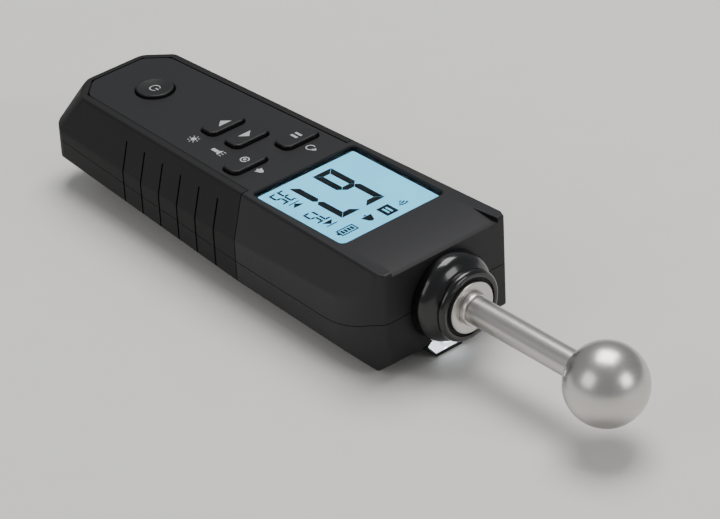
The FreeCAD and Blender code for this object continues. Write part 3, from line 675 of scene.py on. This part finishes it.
    def lower(self) -> None:
        """The lower housing, with its belly, lamp pod, battery opening and screw pillars."""
        shell = carve(self.shell("lower"), self.above(-self.part_gap))
        carve(shell, prism("pod", Lamp().outline(0.85, 29.6), (FRONT_X - 29.6, 0, 0)), Turn.JOIN)
        for x, y, seat in self.spots():
            pillar = prism("pillar", [(px, py, 0.5) for px, py in circle(x, y, 2.6)], (0, 0, 11.5))
            carve(pillar, self.form("inside", floor=0.5), Turn.KEEP)
            carve(shell, pillar, Turn.JOIN)
            carve(shell, prism("bore", [(px, py, -1) for px, py in circle(x, y, 2.25)], (0, 0, seat + 1)))
        opening = [(-99.3, -14.5, -5), (-43.2, -14.5, -5), (-43.2, 14.5, -5), (-99.3, 14.5, -5)]
        carve(shell, prism("opening", opening, (0, 0, 14)))
        carve(shell, self.boss_bore())
        carve(shell, prism("lamp", Lamp().outline(0.0, 31.2), (14, 0, 0)))
        finish_piece(shell, "lower_shell", CHARCOAL_ABS, "casing", ("lower_housing",))

    def grip(self, name: str, upper: bool) -> None:
        """One half of the rubber grip, with its finger grooves."""
        band = carve(self.form(name, edge=self.edge), self.grip_room(0.0), Turn.KEEP)
        carve(band, self.form("core", side=GRIP_T, rear=GRIP_REAR_T, top=-5, floor=-5))
        gap = self.grip_part_gap if upper else -self.grip_part_gap
        carve(band, self.above(gap), Turn.KEEP if upper else Turn.CUT)
        slots = []
        for i in range(6):
            x = self.groove_x + self.groove_pitch * i
            a, b, top = x - self.groove_half, x + self.groove_half, self.groove_top
            slots.append(prism("slot", [(a, -40, -1), (b, -40, -1), (b, -40, top), (x, -40, self.groove_tip),
                                        (a, -40, top)], (0, 80, 0)))
        carve(band, carve(joined("slots", slots), self.form("face", side=self.groove_depth)))
        replaced = "grip_upper" if upper else "grip_lower"
        finish_piece(band, name, GRIP_TPE, "casing", (replaced,))

    def build(self) -> None:
        """Builds the housings and the grip."""
        self.upper()
        self.lower()
        self.grip("grip_upper_skin", True)
        self.grip("grip_lower_skin", False)


# ---- keys ---------------------------------------------------------------------------------------
@dataclass
class Keypad:
    """The four oblong keys, the power button and the printed signs round them."""

    length: float = 6.1
    width: float = 12.4
    rise: float = 1.1

    def domes(self) -> None:
        """The steel snap domes on the board, built in their resting shape; real ones flatten as a key goes
        down, but nothing here flattens them.
        """
        radius, height, foot, press = 2.6, 1.6, -7.4, 0.8
        ball = (radius ** 2 + height ** 2) / (2 * height)
        rises = [0.02 + (height - 0.02) * math.sin(math.pi / 2 * i / 12) for i in range(13)]
        for name, (x, y) in {**KEY_SPOTS, "power": (POWER_X, 0.0)}.items():
            levels = []
            for rise in rises:
                reach = math.sqrt(ball ** 2 - (ball - height + rise) ** 2)
                levels.append(disc_outline(x, y, max(0.04, reach), foot + rise))
            dome = finish_piece(flared("dome", *levels), f"{name}_snap_dome", SATIN_STAINLESS, "casing",
                                (f"{name}_dome",))
            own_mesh(dome)

    def sign(self, name: str, outlines: list[Outline], height: float, body: str) -> None:
        """A printed sign made of flat shapes.

        Args:
            name: the piece's name.
            outlines: each shape's (x, y) corners.
            height: the height above the top face it is printed at.
            body: the body it rides on.
        """
        shapes = [prism("ink", [on_top(x, y, height - 0.03) for x, y in outline], on_top_push(0.06))
                  for outline in outlines]
        finish_piece(joined(name, shapes), name, LEGEND_INK, body)

    def key(self, name: str, x: float, y: float) -> None:
        """One oblong key, with its cap, flange and foot."""
        cap = prism(name, rounded(x - self.length / 2, x + self.length / 2, y - self.width / 2,
                                  y + self.width / 2, 2.0, -3.0), on_top_push(3.0 + self.rise))
        soften(cap, 0.4, 4, 50)
        flange = prism("flange", rounded(x - 3.95, x + 3.95, y - 7.1, y + 7.1, 1.0, -3.6), on_top_push(0.7))
        foot = prism("foot", disc_outline(x, y, 1.4, -5.7, 32), on_top_push(2.2))
        carve(cap, flange, Turn.JOIN)
        carve(cap, foot, Turn.JOIN)
        finish_piece(cap, name + "_cap", KEY_SILICONE, name, (name + "_key",))

    def power(self) -> None:
        """The round power button with a dished top."""
        cap = prism("power", disc_outline(POWER_X, 0, 5.5, -3.0, 96), on_top_push(3.9))
        soften(cap, 0.45, 4, 50)
        bpy.ops.object.select_all(action="DESELECT")
        bpy.ops.mesh.primitive_uv_sphere_add(segments=96, ring_count=64, radius=30 * MM,
                                             location=on_top(POWER_X, 0, 30.45) * MM)
        carve(cap, bpy.context.object)
        carve(cap, prism("flange", disc_outline(POWER_X, 0, 6.4, -3.6), on_top_push(0.7)), Turn.JOIN)
        carve(cap, prism("foot", disc_outline(POWER_X, 0, 1.4, -5.7, 32), on_top_push(2.2)), Turn.JOIN)
        finish_piece(cap, "power_cap", KEY_SILICONE, "power", ("power_button",))

    def ring(self, x: float, y: float, outer: float, inner: float, start: float, end: float
             ) -> Outline:
        """Part of a ring as one outline."""
        return arc(x, y, outer, start, end, 24) + arc(x, y, inner, end, start, 24)

    def oblong(self, x: float, y: float, dx: float, dy: float) -> Outline:
        """An upright oblong round a middle."""
        return [(x - dx, y - dy), (x + dx, y - dy), (x + dx, y + dy), (x - dx, y + dy)]

    def bell(self, x: float, y: float, size: float) -> list[Outline]:
        """A bell's shapes, its top towards +X."""
        s = size
        return [[(x - 0.30 * s, y - 0.5 * s), (x - 0.2 * s, y - 0.42 * s), (x + 0.15 * s, y - 0.28 * s),
                 (x + 0.35 * s, y - 0.2 * s), (x + 0.48 * s, y), (x + 0.35 * s, y + 0.2 * s),
                 (x + 0.15 * s, y + 0.28 * s), (x - 0.2 * s, y + 0.42 * s), (x - 0.30 * s, y + 0.5 * s)],
                self.ring(x - 0.36 * s, y, 0.13 * s, 0.01, 90, 270)]

    def signs(self) -> None:
        """Every printed sign on the keys and beside them."""
        top = self.rise
        self.sign("down_sign", [[(-55.5, 0.1), (-53.3, -2.2), (-53.3, 2.4)]], top, "down")
        self.sign("up_sign", [[(-42.8, 0.2), (-45.0, 2.5), (-45.0, -2.1)]], top, "up")
        self.sign("set_sign", [self.ring(-33.6, -9.0, 1.4, 1.0, 0, 345),
                               self.ring(-33.6, -9.0, 0.5, 0.01, 0, 345)], top, "set")
        self.sign("hold_sign", [self.oblong(-33.5, 8.9, 1.3, 0.4),
                                self.oblong(-33.5, 10.5, 1.3, 0.4)], top, "hold")
        self.sign("power_sign", [self.ring(POWER_X, 0, 1.75, 1.35, 35, 325), self.oblong(-83.9, 0, 1.1, 0.22)],
                  0.47, "power")
        rays = []
        for i in range(8):
            a = math.pi / 4 * i
            c, s = math.cos(a), math.sin(a)
            rays.append([(-54.5 + r * c - w * s, -10.5 + r * s + w * c)
                         for r, w in ((1.25, -0.14), (1.8, -0.14), (1.8, 0.14), (1.25, 0.14))])
        self.sign("light_sign", [self.ring(-54.5, -10.5, 0.85, 0.01, 0, 345)] + rays, 0.0, "casing")
        self.sign("torch_sign", [self.oblong(-45.2, -10.3, 1.2, 0.6),
                                 [(-43.9, -10.9), (-42.9, -11.6), (-42.9, -9.0), (-43.9, -9.7)],
                                 self.oblong(-42.0, -11.3, 0.5, 0.12), self.oblong(-42.0, -10.3, 0.5, 0.12),
                                 self.oblong(-42.0, -9.3, 0.5, 0.12)], 0.0, "casing")
        self.sign("alarm_sign", self.bell(-27.2, -8.9, 2.8), 0.0, "casing")
        self.sign("clear_sign", [self.ring(-26.8, 9.1, 1.4, 1.05, 60, 360),
                                 [(-25.4, 8.2), (-25.4, 10.0), (-24.3, 9.1)]], 0.0, "casing")

    def build(self) -> None:
        """Builds the keys and signs."""
        self.domes()
        for name, (x, y) in KEY_SPOTS.items():
            self.key(name, x, y)
        self.power()
        self.signs()


# ---- display ------------------------------------------------------------------------------------
@dataclass
class Display:
    """The window, the lit panel and its segments. Readings run towards -Y and stand up towards +X."""

    digit_t: float = 2.15
    small_t: float = 0.66
    face: float = -1.45

    def digit(self, lit: str, u: float, v: float, w: float, h: float, t: float) -> list[Outline]:
        """One seven-segment digit.

        Args:
            lit: the letters of its lit segments.
            u: left end, in reading axes.
            v: foot, in reading axes.
            w: width.
            h: height.
            t: thickness of a segment.

        Returns:
            Each lit segment's outline.
        """
        gap, half = 0.07, t / 2
        x0, x1, y0, ym, y1 = u, u + w, v, v + h / 2, v + h
        shapes = {"g": [(x0 + half + gap, ym), (x0 + t + gap, ym + half), (x1 - t - gap, ym + half),
                        (x1 - half - gap, ym), (x1 - t - gap, ym - half), (x0 + t + gap, ym - half)]}
        for name, y, turn in (("a", y1, -1), ("d", y0, 1)):
            inner = y + turn * t
            shapes[name] = [(x0 + gap, y), (x1 - gap, y), (x1 - t - gap, inner), (x0 + t + gap, inner)]
        for name, x, turn, y, rise in (("f", x0, 1, y1, -1), ("b", x1, -1, y1, -1), ("e", x0, 1, y0, 1),
                                       ("c", x1, -1, y0, 1)):
            shapes[name] = [(x, y + rise * gap), (x + turn * t, y + rise * (t + gap)),
                            (x + turn * t, ym - rise * (half + gap)), (x + turn * half, ym - rise * gap),
                            (x, ym - rise * (half + gap))]
        return [shapes[name] for name in lit]

    def block(self, u0: float, u1: float, v0: float, v1: float) -> Outline:
        """An oblong in reading axes."""
        return [(u0, v0), (u1, v0), (u1, v1), (u0, v1)]

    def shapes(self) -> list[Outline]:
        """Every dark shape on the display, in reading axes."""
        out = self.digit("acdefg", -7.0, -15.7, 6.8, 22.4, self.digit_t)
        out += self.digit("abc", 1.8, -15.7, 6.6, 22.4, self.digit_t)
        for left, foot, first in ((9.9, -16.4, "abcdg"), (9.9, -2.0, "abc")):
            out += self.digit(first, left, foot, 2.35, 6.2, self.small_t)
            out += self.digit("acdfg", left + 2.85, foot, 2.35, 6.2, self.small_t)
        for v, tip in ((-8.6, -1), (5.0, 1)):
            mid, line = v + 1.0, v + 1.0 + tip * 1.2
            out.append([(10.6, mid - tip * 0.9), (12.4, mid + tip * 0.9), (14.2, mid - tip * 0.9)])
            out.append(self.block(10.6, 14.2, line - 0.2, line + 0.2))
        out += [self.block(8.6, 14.4, 10.8, 11.25), self.block(8.6, 14.4, 13.55, 14.0),
                self.block(8.6, 9.05, 10.8, 14.0), self.block(13.95, 14.4, 10.8, 14.0),
                self.block(14.4, 15.0, 11.8, 13.0)]
        out += [self.block(9.45 + 1.1 * i, 10.25 + 1.1 * i, 11.6, 13.2) for i in range(4)]
        out += [self.block(-4.9, -3.8, 10.1, 14.9), self.block(-3.1, -2.6, 10.1, 14.9),
                self.block(-1.9, -0.8, 10.1, 14.9), self.block(-4.9, -0.8, 13.9, 14.9),
                self.block(-4.9, -0.8, 10.1, 11.1)]
        out += [[(-y, x) for x, y in outline] for outline in Keypad().bell(11.9, -3.4, 3.9)]
        for i in range(3):
            r = 0.8 + 0.9 * i
            wave = arc(0, 0, r, 50, 130, 12) + arc(0, 0, r - 0.5, 130, 50, 12)
            out.append([(-8.3 + px, 11.0 + py) for px, py in wave])
        return out

    def build(self) -> None:
        """Builds the window, the lit panel and its segments."""
        panel = prism("lcd", rounded(-18.45, 17.65, -17.55, 17.55, 0.8, -3.35), on_top_push(1.9))
        soften(panel, 0.08, 2, 50)
        finish_piece(panel, "lcd_lit_panel", LCD_LIT, "casing", ("lcd_panel",))
        dark = [prism("segment", [on_top(v, -u, self.face - 0.02) for u, v in outline], on_top_push(0.05))
                for outline in self.shapes()]
        finish_piece(joined("lcd_segments", dark), "lcd_segments", LCD_SEGMENT, "casing")
        window = prism("window", rounded(-19.25, 18.45, -18.35, 18.35, 1.45, -1.38), on_top_push(0.53))
        soften(window, 0.1, 2, 50)
        finish_piece(window, "clear_window", COATED_ACRYLIC, "casing", ("display_window",))


# ---- probe --------------------------------------------------------------------------------------
@dataclass
class Probe:
    """The black boss and the stainless probe it carries."""

    ball_x: float = 99.0
    ball_r: float = 11.5

    def build(self) -> None:
        """Builds the boss, ring, disc, collar, shaft and ball."""
        shoulder = [(41.6, 12.86), (42.3, 12.62), (43.0, 12.2), (43.6, 11.65), (44.1, 11.0), (44.5, 10.35),
                    (44.85, 9.85), (45.25, 9.62), (45.6, 9.75), (45.95, 10.15), (46.35, 10.42), (46.8, 10.5),
                    (47.3, 10.48), (47.75, 10.25), (48.05, 9.95), (48.2, 9.6)]
        boss = turned("boss", [(38.95, 12.9), (39.1, 13.0), (41.0, 12.96)] + shoulder + [
            (48.2, 8.75), (48.1, 8.6), (45.4, 8.6), (45.4, 2.6), (35.2, 2.6), (35.2, 8.9), (38.95, 8.9)], 160)
        finish_piece(boss, "turned_boss", BLACK_ACETAL, "casing", ("probe_boss",), 40)
        cup = turned("cup", [(45.42, 2.55), (46.55, 2.55), (46.55, 7.57), (47.7, 7.57), (47.8, 7.65),
                             (47.8, 8.47), (47.72, 8.55), (45.42, 8.55)], 128)
        finish_piece(cup, "insulating_cup", GRIP_TPE, "casing", ("insulating_ring",))
        dish = [(48.87 - 0.3 * (1 - (r / 6.0) ** 2), r) for r in (6.0, 5.2, 4.4, 3.6, 2.8, 2.55)]
        disc = turned("disc", [(46.6, 2.55), (46.6, 7.52), (48.62, 7.52), (48.78, 7.45), (48.87, 7.28)] + dish,
                      128)
        finish_piece(disc, "steel_disc", SATIN_STAINLESS, "casing", ("probe_disc",))
        collar = turned("collar", [(48.82, 3.95), (48.82, 4.75), (50.0, 4.75), (50.2, 4.68), (50.37, 4.45),
                                   (50.37, 3.95)], 96)
        finish_piece(collar, "steel_collar", SATIN_STAINLESS, "casing", ("root_collar",))
        shaft = turned("shaft", [(28.8, 0), (28.8, 2.2), (29.1, 2.5), (48.77, 2.5), (48.77, 3.9), (93.0, 3.9),
                                 (93.0, 0)], 96)
        finish_piece(shaft, "steel_shaft", SATIN_STAINLESS, "casing", ("probe_shaft",))
        start = 180 - math.degrees(math.asin(4.1 / self.ball_r))
        sweep = arc(self.ball_x, 0, self.ball_r, start, 0, 80)
        sweep[-1] = (self.ball_x + self.ball_r, 0.0)
        ball = turned("ball", sweep + [(93.1, 0), (93.1, 3.95), (sweep[0][0] + 0.12, 3.95)], 160)
        finish_piece(ball, "steel_ball", SATIN_STAINLESS, "casing", ("probe_ball",))


# ---- lamp ---------------------------------------------------------------------------------------
@dataclass
class Lamp:
    """The lamp below the boss."""

    low: tuple[float, float] = (0.9, 4.6)
    mid: tuple[float, float] = (4.6, 7.5)
    high: tuple[float, float] = (6.6, 4.9)

    def outline(self, grow: float, x: float) -> list[Point]:
        """The lamp window's outline at x, grown by an amount."""
        half = [(self.low[1], self.low[0] - grow), (self.mid[1] + grow, self.mid[0]),
                (self.high[1], self.high[0] + grow)]
        return [(x, y, z) for y, z in half] + [(x, -y, z) for y, z in reversed(half)]

    def build(self) -> None:
        """Builds the lens, reflector and diode."""
        lens = prism("lens", self.outline(-0.15, 37.2), (1.65, 0, 0))
        soften(lens, 0.25, 3, 50)
        finish_piece(lens, "lamp_clear_lens", LIT_ACRYLIC, "casing", ("lamp_lens",))
        cup = prism("cup", self.outline(-0.15, 33.8), (3.3, 0, 0))
        bowl = turned("bowl", [(33.0, 0), (33.0, 1.6), (34.4, 1.9), (35.6, 2.3), (37.5, 2.75), (37.5, 0)], 64,
                      0.0, 3.9)
        carve(cup, bowl)
        finish_piece(cup, "lamp_bright_reflector", BRIGHT_CHROME, "casing",
                     ("lamp_reflector",))
        dome = [(34.85 + 1.3 * math.cos(a), 1.3 * math.sin(a)) for a in
                [math.radians(90 - 90 * i / 12) for i in range(13)]]
        dome[-1] = (36.15, 0.0)
        led = turned("led", [(33.25, 0), (33.25, 1.3)] + dome, 48, 0.0, 3.9)
        finish_piece(led, "lamp_diode", LED_LIT, "casing", ("lamp_led",))


# ---- battery door -------------------------------------------------------------------------------
@dataclass
class BatteryDoor:
    """The door in the belly, hinged at its front edge."""

    half: float = 14.2
    hinge: tuple[float, float] = (-46.0, 2.4)

    def build(self) -> None:
        """Builds the door with its hinge barrel and opening ribs."""
        casing = Casing()
        leaf = casing.form("door")
        carve(leaf, casing.form("inside", floor=2.0))
        block = [(-99.0, -self.half, -1), (self.hinge[0], -self.half, -1), (self.hinge[0], self.half, -1),
                 (-99.0, self.half, -1)]
        carve(leaf, prism("block", block, (0, 0, 9)), Turn.KEEP)
        for i in range(5):
            x = -95.5 + 1.8 * i
            rib = [(x - 0.4, -6, -0.5), (x + 0.4, -6, -0.5), (x + 0.4, 6, -0.5), (x - 0.4, 6, -0.5)]
            carve(leaf, prism("rib", rib, (0, 0, 1.0)))
        soften(leaf, 0.15, 2, 50)
        x, z = self.hinge
        for radius, reach in ((2.2, self.half), (1.0, 15.8)):
            barrel = prism("barrel", [(px, -reach, pz) for px, pz in circle(x, z, radius)], (0, 2 * reach, 0))
            carve(leaf, barrel, Turn.JOIN)
        finish_piece(leaf, "door_leaf", CHARCOAL_ABS, "door", ("battery_door",))


# ---- the rest -----------------------------------------------------------------------------------
def dress_nodes() -> None:
    """Gives every CAD node its finish by its material slot."""
    for part in frame["record"]["subparts"]:
        node = frame["nodes"][part["node"]]
        node.data.materials.clear()
        node.data.materials.append(SLOT_FINISHES[part["material_slot"]].build())


@dataclass
class Studio:
    """The pale floor, the soft lights and the camera."""

    camera_at: Point = (0.59992, -0.49456, 0.50588)
    right: Point = (0.65934, 0.75048, -0.04522)
    down: Point = (0.37836, -0.38318, -0.84263)
    forward: Point = (-0.64970, 0.53847, -0.53660)
    lens: float = 167.1

    def light(self, name: str, place: Point, size: float, power: float) -> None:
        """A soft square light aimed at the meter."""
        bpy.ops.object.light_add(type="AREA", location=place)
        lamp = bpy.context.object
        lamp.name = name
        lamp.data.size = size
        lamp.data.energy = power
        lamp.rotation_euler = (Vector((0, 0, 0.015)) - Vector(place)).to_track_quat("-Z", "Y").to_euler()

    def build(self) -> None:
        """Builds the floor, lights and camera."""
        bpy.ops.object.select_all(action="DESELECT")
        bpy.ops.mesh.primitive_plane_add(size=6, location=(0, 0, 0))
        floor = bpy.context.object
        floor.name = "floor"
        floor.data.materials.append(Finish("matt_floor", "#dedcd8", "#dad8d4", 0.6, 0.7, 20.0).build())
        self.light("key", (-0.2, 0.35, 1.25), 0.8, 17)
        self.light("side", (-0.2, -1.25, 0.8), 0.8, 4)
        self.light("front", (1.15, 0.35, 0.6), 0.5, 4)
        world = bpy.context.scene.world or bpy.data.worlds.new("studio")
        bpy.context.scene.world = world
        world.use_nodes = True
        world.node_tree.nodes["Background"].inputs[0].default_value = linear("#e4e6ea")
        world.node_tree.nodes["Background"].inputs[1].default_value = 0.4
        data = bpy.data.cameras.new("camera")
        camera = bpy.data.objects.new("camera", data)
        bpy.context.scene.collection.objects.link(camera)
        data.sensor_width = 36.0
        data.lens = self.lens
        data.clip_start = 0.01
        r, d, f = Vector(self.right), Vector(self.down), Vector(self.forward)
        turn = Matrix((r, -d, -f)).transposed().to_4x4()
        camera.matrix_world = Matrix.Translation(self.camera_at) @ turn
        bpy.context.scene.camera = camera


def main() -> None:
    """Builds the whole meter and its studio."""
    dress_nodes()
    for part in (Casing(), Keypad(), Display(), Probe(), Lamp(), BatteryDoor(), Studio()):
        part.build()
        LOG.info("built %s", type(part).__name__)


if __name__ == "__main__":
    logging.basicConfig(level=logging.INFO, format="%(message)s")
    main()
